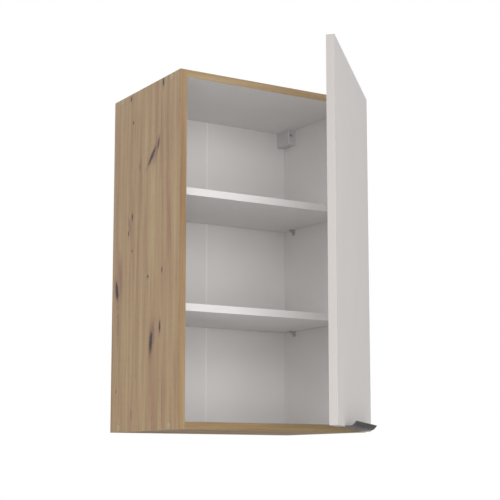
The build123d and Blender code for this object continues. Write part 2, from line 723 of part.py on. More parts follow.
def cup_screws(level):
    """Two screws through the cup's wings into the door."""
    screws = []
    seat = DOOR_REAR + WING_THICK
    for step in (-0.5, 0.5):
        z = level + step * WING_SCREW_PITCH
        head = rod_y(WING_X, seat, seat + WING_HEAD, z, WING_HEAD_R)
        shank = rod_y(WING_X, seat, DOOR_REAR - WING_SCREW_DEPTH, z, WING_SCREW_R)
        slot = cross_slot((WING_X, seat + WING_HEAD, z), (0, 1, 0), 2.3, 1.1)
        screws.append(head + shank - slot)
    return screws


def build_hinges():
    """Two concealed cup hinges; the long links' cup ends are left open with room."""
    for name, level in hinge_levels().items():
        keep(f"{name}_hinge_plate", mounting_plate(level))
        keep(f"{name}_hinge_plate_screws", *plate_screws(level))
        keep(f"{name}_hinge_arm", hinge_arm(level))
        keep(f"{name}_hinge_arm_screws", *arm_screws(level))
        keep(f"{name}_hinge_arm_pins", *pin(SHORT_AT_ARM, level, SHORT_LAYER[1]),
             *pin(LONG_AT_ARM, level, LONG_LAYER[1]))
        keep(f"{name}_hinge_short_link", short_link(level))
        keep(f"{name}_hinge_long_link", *long_link(level))
        keep(f"{name}_hinge_cup", opened(hinge_cup(level)))
        keep(f"{name}_hinge_cup_screws", *[opened(screw) for screw in cup_screws(level)])
        cup_pins = pin(SHORT_AT_CUP, level, LUG_LAYER[1])
        cup_pins += pin(LONG_AT_CUP, level, LONG_LAYER[1], LUG_LAYER[0])
        keep(f"{name}_hinge_cup_pins", *[opened(one) for one in cup_pins])


# ---- door and handle ----------------------------------------------------------------
def handle_screw_spots():
    """Where the handle's screws sit along the door's width."""
    middle = DOOR_EDGE - DOOR_WIDTH / 2
    return [middle + step * HANDLE_SCREW_PITCH for step in (-1, 0, 1)]


def door_board():
    """The door's board, bored for the cups and screws and let in for the handle."""
    band = DOOR_BAND
    board = block(DOOR_EDGE - DOOR_WIDTH + band, DOOR_EDGE - band, DOOR_REAR - DOOR_BOARD,
                  DOOR_REAR, DOOR_LOW + band, DOOR_HIGH - band)
    cuts = [handle_rebate()]
    for level in hinge_levels().values():
        cuts.append(rod_y(CUP_X, DOOR_REAR + 1, DOOR_REAR - CUP_DEPTH - CUP_SLACK, level,
                          CUP_R + CUP_SLACK))
        for step in (-0.5, 0.5):
            cuts.append(rod_y(WING_X, DOOR_REAR + 1, DOOR_REAR - WING_SCREW_DEPTH - SCREW_SLACK,
                              level + step * WING_SCREW_PITCH, WING_SCREW_R + SCREW_SLACK))
    for x in handle_screw_spots():
        cuts.append(rod_z(x, DOOR_REAR - DOOR_BOARD / 2, DOOR_LOW - 1,
                          DOOR_LOW + HANDLE_SCREW_LENGTH + SCREW_SLACK,
                          HANDLE_SCREW_R + SCREW_SLACK))
    return board - cuts


def handle_rebate():
    """The shallow recess in the door's lower edge that the handle lies in."""
    middle = DOOR_EDGE - DOOR_WIDTH / 2
    half = HANDLE_LENGTH / 2
    return block(middle - half, middle + half, DOOR_REAR - DOOR_BOARD - 1, DOOR_REAR + 1,
                 DOOR_LOW - 1, DOOR_LOW + HANDLE_SHEET)


def door_bands():
    """The strips glued round the door's four edges."""
    left, right = DOOR_EDGE - DOOR_WIDTH, DOOR_EDGE
    rear, front, band = DOOR_REAR, DOOR_REAR - DOOR_BOARD, DOOR_BAND
    upper = block(left + band, right - band, front, rear, DOOR_HIGH - band, DOOR_HIGH)
    lower = block(left + band, right - band, front, rear, DOOR_LOW, DOOR_LOW + band)
    lower -= handle_rebate()
    free = block(left, left + band, front, rear, DOOR_LOW, DOOR_HIGH)
    hung = block(right - band, right, front, rear, DOOR_LOW, DOOR_HIGH)
    return [upper, free, hung] + list(lower.solids())


def handle_profile():
    """The handle: a flat flange under the door, a bend in front of it and a rising lip."""
    middle = DOOR_EDGE - DOOR_WIDTH / 2
    bend_y = DOOR_REAR - DOOR_BOARD - HANDLE_REACH
    mid_low = DOOR_LOW + HANDLE_SHEET / 2
    centre_z = DOOR_LOW + HANDLE_SHEET + HANDLE_RISE_R
    mid_r = HANDLE_RISE_R + HANDLE_SHEET / 2
    angle = math.radians(HANDLE_RISE_ANGLE)

    def on_bend(turn):
        return (bend_y - mid_r * math.sin(turn), centre_z - mid_r * math.cos(turn))

    bend_end = on_bend(angle)
    tip = (bend_end[0] - HANDLE_LIP * math.cos(angle), bend_end[1] + HANDLE_LIP * math.sin(angle))
    path = [Line((DOOR_REAR, mid_low), (bend_y, mid_low)),
            ThreePointArc((bend_y, mid_low), on_bend(angle / 2), bend_end),
            Line(bend_end, tip)]
    plane = Plane(origin=(middle - HANDLE_LENGTH / 2, 0, 0), x_dir=(0, 1, 0), z_dir=(1, 0, 0))
    profile = extrude(plane * trace(path, HANDLE_SHEET), HANDLE_LENGTH)
    y = DOOR_REAR - DOOR_BOARD / 2
    for x in handle_screw_spots():
        profile -= rod_z(x, y, DOOR_LOW - 1, DOOR_LOW + HANDLE_SHEET + 1, HANDLE_SCREW_R + SCREW_SLACK)
        profile -= countersink(x, y, SCREW_SLACK)
    return profile


def countersink(x, y, slack=0.0):
    """The cone of a handle screw's head, level with the door's lower edge."""
    high = HANDLE_SCREW_R + HANDLE_SCREW_SINK
    cone = Cone(high + slack, HANDLE_SCREW_R + slack, HANDLE_SCREW_SINK)
    return Pos(x, y, DOOR_LOW + HANDLE_SCREW_SINK / 2) * cone


def handle_screws():
    """Countersunk screws up into the door's lower edge."""
    y = DOOR_REAR - DOOR_BOARD / 2
    screws = []
    for x in handle_screw_spots():
        head = countersink(x, y)
        shank = rod_z(x, y, DOOR_LOW + HANDLE_SCREW_SINK, DOOR_LOW + HANDLE_SCREW_LENGTH,
                      HANDLE_SCREW_R)
        screws.append(head + shank - cross_slot((x, y, DOOR_LOW), (0, 0, -1), 2.0, 0.9))
    return screws


def door_bumpers():
    """Soft pads near the free edge that the door closes on."""
    x = DOOR_EDGE - DOOR_WIDTH + BUMPER_INSET
    return [rod_y(x, DOOR_REAR, DOOR_REAR + BUMPER_THICK, z, BUMPER_R)
            for z in (DOOR_LOW + BUMPER_INSET, DOOR_HIGH - BUMPER_INSET)]


def build_door():
    """The door with its edge strips, handle and bumpers, part open."""
    keep("door_panel", opened(door_board()))
    keep("door_edge_bands", *[opened(strip) for strip in door_bands()])
    keep("handle", opened(handle_profile()))
    keep("handle_screws", *[opened(screw) for screw in handle_screws()])
    keep("door_bumpers", *[opened(pad) for pad in door_bumpers()])


def main():
    """Builds every sub-part and writes one file for each."""
    build_carcass()
    build_shelves()
    build_hangers()
    build_hinges()
    build_door()
    os.makedirs("parts", exist_ok=True)
    for name, solids in parts.items():
        shape = solids[0] if len(solids) == 1 else Compound(children=list(solids))
        export_step(shape, f"parts/{name}.step")


main()
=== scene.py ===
"""Hanging wall cabinet: finishes, detailed pieces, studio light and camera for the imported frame."""
import logging
import math
from dataclasses import dataclass, field
from enum import Enum
from typing import Callable, Iterable, Optional, Sequence

import bpy
from mathutils import Matrix, Vector


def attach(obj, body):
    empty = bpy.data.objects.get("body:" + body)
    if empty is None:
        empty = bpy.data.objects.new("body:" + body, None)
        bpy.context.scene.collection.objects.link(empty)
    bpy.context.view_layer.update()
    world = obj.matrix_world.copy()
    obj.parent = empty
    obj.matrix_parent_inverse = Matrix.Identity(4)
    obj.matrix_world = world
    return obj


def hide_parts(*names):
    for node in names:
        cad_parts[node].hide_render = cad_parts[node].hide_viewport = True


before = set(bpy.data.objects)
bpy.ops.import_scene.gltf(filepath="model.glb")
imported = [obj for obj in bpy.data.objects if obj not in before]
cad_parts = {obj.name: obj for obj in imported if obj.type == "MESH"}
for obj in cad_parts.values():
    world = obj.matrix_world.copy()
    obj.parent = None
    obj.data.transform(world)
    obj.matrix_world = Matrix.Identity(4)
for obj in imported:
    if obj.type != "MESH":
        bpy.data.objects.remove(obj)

LOG = logging.getLogger("wall_cabinet")
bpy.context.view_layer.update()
NODES: dict[str, bpy.types.Object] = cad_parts

# How far the door stands open at rest, and the way its front faces there.
DOOR_OPEN = math.radians(45.7)
DOOR_FACING = Vector((math.sin(DOOR_OPEN), -math.cos(DOOR_OPEN), 0.0))
UPPER_LOWER = ("upper", "lower")
LEFT_RIGHT = ("left", "right")

# Lengths in metres.
SAME_LEVEL = 1e-4
SAME_POINT = 1e-6
PIECE_SPAN = 0.02
CRISP_EDGE = 0.0003
MOULDED_EDGE = 0.0004

# How nearly a face's normal follows an axis before the face counts as facing that way.
FACING = 0.9
MOSTLY_FACING = 0.5

# How far two faces bend before the edge between them is rounded on a frame node, rounded on a
# modelled disc, and shaded as an edge on that disc.
SHARP_EDGE = math.radians(50)
SHARP_RIM = math.radians(60)
SMOOTH_BELOW = math.radians(35)

# Numbers of the inputs that share their name with another input of the same node.
IN_LOW, IN_HIGH, OUT_LOW, OUT_HIGH = 1, 2, 3, 4
MIX_UNDER, MIX_OVER = 6, 7

# Noise sits mostly between these two levels.
NOISE_LOW, NOISE_HIGH = 0.3, 0.7

# Oak decor. Cells are width by length along the grain, in metres.
BROAD_LENGTH = 0.42
THIN_CELL = (0.0032, 0.11)
PORE_CELL = (0.0009, 0.018)
RAGGED_CELL = (0.0030, 0.009)
STREAK_CONTRAST = 0.66
DRIFT_STRETCH = (22, 3.2, 1)
DRIFT_WIDTH = 0.014
FILM_SPECULAR = 0.35


# ---------------------------------------------------------------- small tools
def linear(hex_code: str) -> tuple[float, float, float, float]:
    """Turns an sRGB hex colour into the linear colour that shaders take.

    Args:
        hex_code: Six hex digits, with or without a leading hash.

    Returns:
        Linear red, green, blue and an alpha of one.
    """
    digits = hex_code.lstrip("#")
    channels = [int(digits[i : i + 2], 16) / 255 for i in (0, 2, 4)]
    toned = [c / 12.92 if c <= 0.04045 else ((c + 0.055) / 1.055) ** 2.4 for c in channels]
    return (toned[0], toned[1], toned[2], 1.0)


def node(
    tree: bpy.types.NodeTree, kind: str, inputs: Optional[dict] = None, **settings: object
) -> bpy.types.Node:
    """Adds a node with its settings, its plain input values and its links.

    Args:
        tree: The node tree that takes the node.
        kind: The node's Blender type name.
        inputs: Input name or number to a value, or to the socket that feeds it.
        **settings: Properties of the node itself.

    Returns:
        The new node.
    """
    made = tree.nodes.new(kind)
    for key, value in settings.items():
        setattr(made, key, value)
    for key, value in (inputs or {}).items():
        if isinstance(value, bpy.types.NodeSocket):
            tree.links.new(value, made.inputs[key])
        else:
            made.inputs[key].default_value = value
    return made


def set_stops(ramp: bpy.types.Node, stops: Sequence[tuple[float, str]]) -> None:
    """Gives a colour ramp its stops.

    Args:
        ramp: The colour ramp node.
        stops: Positions from 0 to 1 with an sRGB hex colour each.
    """
    elements = ramp.color_ramp.elements
    while len(elements) < len(stops):
        elements.new(0.5)
    for element, (place, colour) in zip(elements, stops):
        element.position = place
        element.color = linear(colour)


# ---------------------------------------------------------------- finishes
@dataclass(frozen=True)
class Finish:
    """What a surface is made of. Each kind of finish says how it is painted."""

    name: str

    def paint(self, tree: bpy.types.NodeTree, shader: bpy.types.Node) -> None:
        """Wires the finish's own pattern into the shader. Each kind of finish has its own.

        Args:
            tree: The material's node tree.
            shader: The surface shader.
        """

    def make(self) -> bpy.types.Material:
        """Builds the finish's material.

        Returns:
            The material, wired up.
        """
        material = bpy.data.materials.new(self.name)
        material.use_nodes = True
        tree = material.node_tree
        tree.nodes.clear()
        shader = node(tree, "ShaderNodeBsdfPrincipled")
        node(tree, "ShaderNodeOutputMaterial", {"Surface": shader.outputs[0]})
        self.paint(tree, shader)
        return material


class Grain(Enum):
    """Which way the wood decor runs, as the axes across and along its grain."""

    SIDE = ("Y", "Z")
    LEVEL = ("Y", "X")
    FRONT_UPRIGHT = ("X", "Z")
    FRONT_LEVEL = ("Z", "X")


@dataclass(frozen=True)
class Knot:
    """A knot or a discoloured streak: its middle, half sizes and lean, in metres and radians."""

    across: float
    along: float
    half_width: float
    half_length: float
    lean: float = 0.0


@dataclass(frozen=True)
class OakDecor(Finish):
    """Printed melamine of knotty artisan oak: dull, streaky and flat, with inky knots."""

    grain: Grain = Grain.SIDE
    knots: tuple[Knot, ...] = ()
    stains: tuple[Knot, ...] = ()
    early: str = "#ae9773"
    middle: str = "#a58b6b"
    late: str = "#997960"
    streak: float = 0.016

    def _nearest(
        self, tree: bpy.types.NodeTree, place: bpy.types.NodeSocket, spots: Iterable[Knot]
    ) -> Optional[bpy.types.NodeSocket]:
        """Measures how far a point is from the nearest spot, in the spot's own half sizes.

        Args:
            tree: The material's node tree.
            place: The point, across and along the grain.
            spots: The knots or stains.

        Returns:
            The socket that carries the distance, or None with no spots.
        """
        nearest = None
        for spot in spots:
            local = node(
                tree,
                "ShaderNodeMapping",
                {
                    "Vector": place,
                    "Location": (spot.across, spot.along, 0),
                    "Rotation": (0, 0, spot.lean),
                    "Scale": (spot.half_width, spot.half_length, 1),
                },
                vector_type="TEXTURE",
            )
            away = node(tree, "ShaderNodeVectorMath", {0: local.outputs[0]}, operation="LENGTH")
            reach = away.outputs["Value"]
            if nearest is None:
                nearest = reach
            else:
                nearest = node(
                    tree, "ShaderNodeMath", {0: nearest, 1: reach}, operation="MINIMUM"
                ).outputs[0]
        return nearest

    def paint(self, tree: bpy.types.NodeTree, shader: bpy.types.Node) -> None:
        """Wires streaks, pores, stains and knots.

        Args:
            tree: The material's node tree.
            shader: The surface shader.
        """
        across, along = self.grain.value
        here = node(tree, "ShaderNodeTexCoord").outputs["Object"]
        axes = node(tree, "ShaderNodeSeparateXYZ", {0: here})
        flat = node(tree, "ShaderNodeCombineXYZ", {0: axes.outputs[across], 1: axes.outputs[along]})
        # The grain wanders a few millimetres to each side, in cells of about 45 by 310 mm.
        drift_at = node(
            tree,
            "ShaderNodeVectorMath",
            {0: flat.outputs[0], 1: DRIFT_STRETCH},
            operation="MULTIPLY",
        )
        drift = node(tree, "ShaderNodeTexNoise", {"Vector": drift_at.outputs[0], "Scale": 1.0})
        centred = node(tree, "ShaderNodeMath", {0: drift.outputs[0], 1: 0.5}, operation="SUBTRACT")
        shift = node(
            tree,
            "ShaderNodeMath",
            {0: centred.outputs[0], 1: DRIFT_WIDTH},
            operation="MULTIPLY",
        )
        moved = node(tree, "ShaderNodeCombineXYZ", {0: shift.outputs[0]})
        wavy = node(
            tree, "ShaderNodeVectorMath", {0: flat.outputs[0], 1: moved.outputs[0]}, operation="ADD"
        ).outputs[0]

        def streaks(width: float, length: float, detail: float) -> bpy.types.NodeSocket:
            """Draws noise out along the grain.

            Args:
                width: How wide a cell is, in metres.
                length: How long a cell is along the grain, in metres.
                detail: How much finer noise is laid over it.

            Returns:
                The socket that carries the noise.
            """
            stretched = node(
                tree,
                "ShaderNodeVectorMath",
                {0: wavy, 1: (1 / width, 1 / length, 1)},
                operation="MULTIPLY",
            )
            cells = node(
                tree,
                "ShaderNodeTexNoise",
                {
                    "Vector": stretched.outputs[0],
                    "Scale": 1.0,
                    "Detail": detail,
                    "Roughness": STREAK_CONTRAST,
                },
            )
            return cells.outputs[0]

        broad = streaks(self.streak, BROAD_LENGTH, 3.0)
        tone = node(tree, "ShaderNodeValToRGB", {0: broad})
        set_stops(tone, ((0.34, self.late), (0.50, self.middle), (0.66, self.early)))
        thin = node(
            tree,
            "ShaderNodeMapRange",
            {
                0: streaks(*THIN_CELL, 2.0),
                IN_LOW: NOISE_LOW,
                IN_HIGH: NOISE_HIGH,
                OUT_LOW: 0.93,
                OUT_HIGH: 1.05,
            },
        )
        # Pores are about 0.3 mm wide on oak, and 0.9 mm here, because finer ones are too fine to
        # show in the render.
        pores = node(
            tree,
            "ShaderNodeMapRange",
            {
                0: streaks(*PORE_CELL, 1.0),
                IN_LOW: 0.56,
                IN_HIGH: 0.72,
                OUT_LOW: 1.0,
                OUT_HIGH: 0.86,
            },
        )
        shade = node(
            tree, "ShaderNodeMath", {0: thin.outputs[0], 1: pores.outputs[0]}, operation="MULTIPLY"
        )
        colour = node(
            tree,
            "ShaderNodeVectorMath",
            {0: tone.outputs[0], "Scale": shade.outputs[0]},
            operation="SCALE",
        ).outputs[0]
        # Ragged edges, from cells of about 3 by 9 mm.
        ragged = node(
            tree,
            "ShaderNodeMapRange",
            {0: streaks(*RAGGED_CELL, 5.0), OUT_LOW: -0.95, OUT_HIGH: 0.95},
        ).outputs[0]
        for spots, ink, near, far, depth in (
            (self.stains, "#87665a", 0.2, 1.35, 0.80),
            (self.knots, "#836355", 0.9, 2.7, 0.70),
            (self.knots, "#393534", 0.80, 1.35, 0.96),
        ):
            reach = self._nearest(tree, flat.outputs[0], spots)
            if reach is None:
                continue
            edge = node(tree, "ShaderNodeMath", {0: reach, 1: ragged}, operation="ADD")
            cover = node(
                tree,
                "ShaderNodeMapRange",
                {0: edge.outputs[0], IN_LOW: near, IN_HIGH: far, OUT_LOW: depth, OUT_HIGH: 0.0},
            )
            colour = node(
                tree,
                "ShaderNodeMix",
                {"Factor": cover.outputs[0], MIX_UNDER: colour, MIX_OVER: linear(ink)},
                data_type="RGBA",
            ).outputs[2]
        tree.links.new(colour, shader.inputs["Base Color"])
        polish = node(
            tree,
            "ShaderNodeMapRange",
            {0: pores.outputs[0], IN_LOW: 0.86, IN_HIGH: 1.0, OUT_LOW: 0.66, OUT_HIGH: 0.5},
        )
        tree.links.new(polish.outputs[0], shader.inputs["Roughness"])
        relief = node(
            tree,
            "ShaderNodeBump",
            {"Strength": 0.18, "Distance": 0.0003, "Height": pores.outputs[0]},
        )
        tree.links.new(relief.outputs[0], shader.inputs["Normal"])
        shader.inputs["Specular IOR Level"].default_value = FILM_SPECULAR


@dataclass(frozen=True)
class Melamine(Finish):
    """Plain pressed melamine or lacquered film: even, matt, with a faint leathery press mark."""

    tint: str = "#c4c2c1"
    rough: float = 0.55
    pearl: float = 0.0009

    def paint(self, tree: bpy.types.NodeTree, shader: bpy.types.Node) -> None:
        """Wires a soft mottle and the press mark.

        Args:
            tree: The material's node tree.
            shader: The surface shader.
        """
        here = node(tree, "ShaderNodeTexCoord").outputs["Object"]
        cloud = node(
            tree, "ShaderNodeTexNoise", {"Vector": here, "Scale": 9.0, "Detail": 3.0}
        )
        level = node(
            tree,
            "ShaderNodeMapRange",
            {
                0: cloud.outputs[0],
                IN_LOW: NOISE_LOW,
                IN_HIGH: NOISE_HIGH,
                OUT_LOW: 0.985,
                OUT_HIGH: 1.01,
            },
        )
        colour = node(
            tree,
            "ShaderNodeVectorMath",
            {0: linear(self.tint)[:3], "Scale": level.outputs[0]},
            operation="SCALE",
        )
        tree.links.new(colour.outputs[0], shader.inputs["Base Color"])
        press = node(
            tree, "ShaderNodeTexNoise", {"Vector": here, "Scale": 1 / self.pearl, "Detail": 2.0}
        )
        sheen = node(
            tree,
            "ShaderNodeMapRange",
            {
                0: press.outputs[0],
                IN_LOW: NOISE_LOW,
                IN_HIGH: NOISE_HIGH,
                OUT_LOW: self.rough - 0.05,
                OUT_HIGH: self.rough + 0.05,
            },
        )
        tree.links.new(sheen.outputs[0], shader.inputs["Roughness"])
        relief = node(
            tree,
            "ShaderNodeBump",
            {"Strength": 0.12, "Distance": 0.0001, "Height": press.outputs[0]},
        )
        tree.links.new(relief.outputs[0], shader.inputs["Normal"])
        shader.inputs["Specular IOR Level"].default_value = FILM_SPECULAR


@dataclass(frozen=True)
class Particle(Finish):
    """Bare cut wood board: pressed chips or fibres, dry and rough, speckled light and dark."""

    pale: str = "#c2a881"
    mid: str = "#b0936c"
    dark: str = "#987a57"
    chip: float = 0.0016

    def paint(self, tree: bpy.types.NodeTree, shader: bpy.types.Node) -> None:
        """Wires the chips and their rough cut.

        Args:
            tree: The material's node tree.
            shader: The surface shader.
        """
        here = node(tree, "ShaderNodeTexCoord").outputs["Object"]
        chips = node(tree, "ShaderNodeTexVoronoi", {"Vector": here, "Scale": 1 / self.chip})
        grey = node(tree, "ShaderNodeSeparateColor", {0: chips.outputs["Color"]})
        tone = node(tree, "ShaderNodeValToRGB", {0: grey.outputs[0]})
        set_stops(tone, ((0.0, self.dark), (0.35, self.mid), (1.0, self.pale)))
        tree.links.new(tone.outputs[0], shader.inputs["Base Color"])
        relief = node(
            tree,
            "ShaderNodeBump",
            {"Strength": 0.5, "Distance": 0.0004, "Height": chips.outputs["Distance"]},
        )
        tree.links.new(relief.outputs[0], shader.inputs["Normal"])
        shader.inputs["Roughness"].default_value = 0.9


@dataclass(frozen=True)
class Metal(Finish):
    """Metal sheet or wire: reflective, with fine drawn or rolled lines and cloudy plating."""

    tint: str = "#c9c8c6"
    rough: float = 0.34
    metallic: float = 1.0
    lines: tuple[float, float, float] = (900.0, 900.0, 60.0)

    def paint(self, tree: bpy.types.NodeTree, shader: bpy.types.Node) -> None:
        """Wires the lines and the plating's clouds.

        Args:
            tree: The material's node tree.
            shader: The surface shader.
        """
        here = node(tree, "ShaderNodeTexCoord").outputs["Object"]
        drawn = node(tree, "ShaderNodeVectorMath", {0: here, 1: self.lines}, operation="MULTIPLY")
        line = node(
            tree, "ShaderNodeTexNoise", {"Vector": drawn.outputs[0], "Scale": 1.0, "Detail": 3.0}
        )
        cloud = node(tree, "ShaderNodeTexNoise", {"Vector": here, "Scale": 140.0, "Detail": 2.0})
        level = node(
            tree,
            "ShaderNodeMapRange",
            {
                0: cloud.outputs[0],
                IN_LOW: NOISE_LOW,
                IN_HIGH: NOISE_HIGH,
                OUT_LOW: 0.9,
                OUT_HIGH: 1.06,
            },
        )
        colour = node(
            tree,
            "ShaderNodeVectorMath",
            {0: linear(self.tint)[:3], "Scale": level.outputs[0]},
            operation="SCALE",
        )
        tree.links.new(colour.outputs[0], shader.inputs["Base Color"])
        sheen = node(
            tree,
            "ShaderNodeMapRange",
            {
                0: line.outputs[0],
                IN_LOW: NOISE_LOW,
                IN_HIGH: NOISE_HIGH,
                OUT_LOW: self.rough - 0.07,
                OUT_HIGH: self.rough + 0.09,
            },
        )
        tree.links.new(sheen.outputs[0], shader.inputs["Roughness"])
        relief = node(
            tree, "ShaderNodeBump", {"Strength": 0.1, "Distance": 0.0001, "Height": line.outputs[0]}
        )
        tree.links.new(relief.outputs[0], shader.inputs["Normal"])
        shader.inputs["Metallic"].default_value = self.metallic


@dataclass(frozen=True)
class Moulded(Finish):
    """Injection-moulded plastic or soft elastomer: even colour with a fine spark-eroded bite."""

    tint: str = "#b9b8b8"
    rough: float = 0.5
    clear: float = 0.0

    def paint(self, tree: bpy.types.NodeTree, shader: bpy.types.Node) -> None:
        """Wires the mould's texture.

        Args:
            tree: The material's node tree.
            shader: The surface shader.
        """
        here = node(tree, "ShaderNodeTexCoord").outputs["Object"]
        bite = node(tree, "ShaderNodeTexNoise", {"Vector": here, "Scale": 1600.0, "Detail": 2.0})
        level = node(
            tree,
            "ShaderNodeMapRange",
            {
                0: bite.outputs[0],
                IN_LOW: NOISE_LOW,
                IN_HIGH: NOISE_HIGH,
                OUT_LOW: 0.97,
                OUT_HIGH: 1.02,
            },
        )
        colour = node(
            tree,
            "ShaderNodeVectorMath",
            {0: linear(self.tint)[:3], "Scale": level.outputs[0]},
            operation="SCALE",
        )
        tree.links.new(colour.outputs[0], shader.inputs["Base Color"])
        relief = node(
            tree, "ShaderNodeBump", {"Strength": 0.2, "Distance": 0.0001, "Height": bite.outputs[0]}
        )
        tree.links.new(relief.outputs[0], shader.inputs["Normal"])
        shader.inputs["Roughness"].default_value = self.rough
        shader.inputs["Transmission Weight"].default_value = self.clear


LEFT_KNOTS = (
    Knot(-0.1790, -0.1175, 0.0040, 0.0190, 0.80),
    Knot(-0.2080, -0.0960, 0.0022, 0.0095, 0.25),
    Knot(-0.0225, -0.3820, 0.0058, 0.0165, -0.20),
    Knot(-0.1820, -0.5040, 0.0055, 0.0195, 0.10),
    Knot(-0.2200, -0.4760, 0.0028, 0.0090),
    Knot(-0.2265, 0.0290, 0.0028, 0.0080),
    Knot(-0.0790, 0.0280, 0.0024, 0.0042),
    Knot(-0.0360, 0.0335, 0.0014, 0.0028),
    Knot(-0.0910, -0.0270, 0.0018, 0.0026),
    Knot(-0.0910, -0.2320, 0.0024, 0.0065),
    Knot(-0.0750, -0.2650, 0.0016, 0.0045),
    Knot(-0.0930, -0.3050, 0.0016, 0.0020),
    Knot(-0.2275, -0.3620, 0.0018, 0.0038),
    Knot(-0.1660, -0.3680, 0.0026, 0.0022),
    Knot(-0.0250, -0.5970, 0.0014, 0.0030),
)
LEFT_STAINS = (
    Knot(-0.0370, -0.3500, 0.0110, 0.0480, -0.10),
    Knot(-0.1960, -0.1080, 0.0110, 0.0300, 0.50),
    Knot(-0.1250, -0.1280, 0.0070, 0.0120),
    Knot(-0.1920, -0.4850, 0.0080, 0.0240),
    Knot(-0.2320, -0.6150, 0.0022, 0.0620),
    Knot(-0.2190, -0.0700, 0.0026, 0.0900),
    Knot(-0.0970, -0.6480, 0.0055, 0.0130),
    Knot(-0.0300, -0.4550, 0.0060, 0.0550),
    Knot(-0.0800, -0.2500, 0.0060, 0.0200, -0.30),
)
RIGHT_KNOTS = (
    Knot(-0.0700, -0.1500, 0.0048, 0.0150, 0.30),
    Knot(-0.2100, -0.3000, 0.0060, 0.0180, -0.25),
    Knot(-0.1200, -0.5600, 0.0045, 0.0190, 0.10),
    Knot(-0.2400, -0.0300, 0.0024, 0.0060),
    Knot(-0.0500, -0.4300, 0.0020, 0.0050),
    Knot(-0.1600, -0.2100, 0.0018, 0.0024),
)
RIGHT_STAINS = (
    Knot(-0.0750, -0.1300, 0.0090, 0.0420, 0.20),
    Knot(-0.2050, -0.3300, 0.0100, 0.0450, -0.10),
    Knot(-0.1250, -0.5300, 0.0060, 0.0500),
)
LEVEL_KNOTS = (
    Knot(-0.1800, 0.0900, 0.0050, 0.0140, 0.20),
    Knot(-0.0800, -0.1300, 0.0040, 0.0110, -0.30),
    Knot(-0.2300, -0.0400, 0.0020, 0.0040),
)
LEVEL_STAINS = (
    Knot(-0.1750, 0.0700, 0.0080, 0.0400, 0.10),
    Knot(-0.0850, -0.1100, 0.0080, 0.0350),
)


# ---------------------------------------------------------------- dressing the frame
Chooser = Callable[[Vector, Vector], int]


def dress(
    name: str, materials: Sequence[bpy.types.Material], choose: Optional[Chooser] = None
) -> None:
    """Gives a frame node its materials, face by face.

    Args:
        name: The node.
        materials: The materials it takes, in slot order.
        choose: Turns a face's normal and middle into a slot number; all faces take the first
            material without it.
    """
    mesh = NODES[name].data
    mesh.materials.clear()
    for material in materials:
        mesh.materials.append(material)
    for face in mesh.polygons:
        face.material_index = choose(face.normal, face.center) if choose else 0
    LOG.info("dressed %s", name)


def ease(name: str, width: float, segments: int = 2) -> None:
    """Rounds a frame node's sharp edges a little, so that they catch the light.

    Args:
        name: The node.
        width: How wide the rounding is, in metres.
        segments: How many strips it is made of.
    """
    thing = NODES[name]
    weld = thing.modifiers.new("weld", "WELD")
    weld.merge_threshold = SAME_POINT
    soft = thing.modifiers.new("soft_edges", "BEVEL")
    soft.width = width
    soft.segments = segments
    soft.limit_method = "ANGLE"
    soft.angle_limit = SHARP_EDGE
    soft.use_clamp_overlap = True
    soft.harden_normals = False


def middles(name: str, span: float) -> list[Vector]:
    """Finds the middles of the separate pieces in a frame node.

    Args:
        name: The node.
        span: Points closer together than this, in metres, belong to one piece.

    Returns:
        The middle of each piece's box.
    """
    groups: list[list[Vector]] = []
    for vertex in NODES[name].data.vertices:
        for group in groups:
            if (vertex.co - group[0]).length < span:
                group.append(vertex.co)
                break
        else:
            groups.append([vertex.co])
    found = []
    for group in groups:
        low = Vector([min(point[axis] for point in group) for axis in range(3)])
        high = Vector([max(point[axis] for point in group) for axis in range(3)])
        found.append((low + high) / 2)
    return found


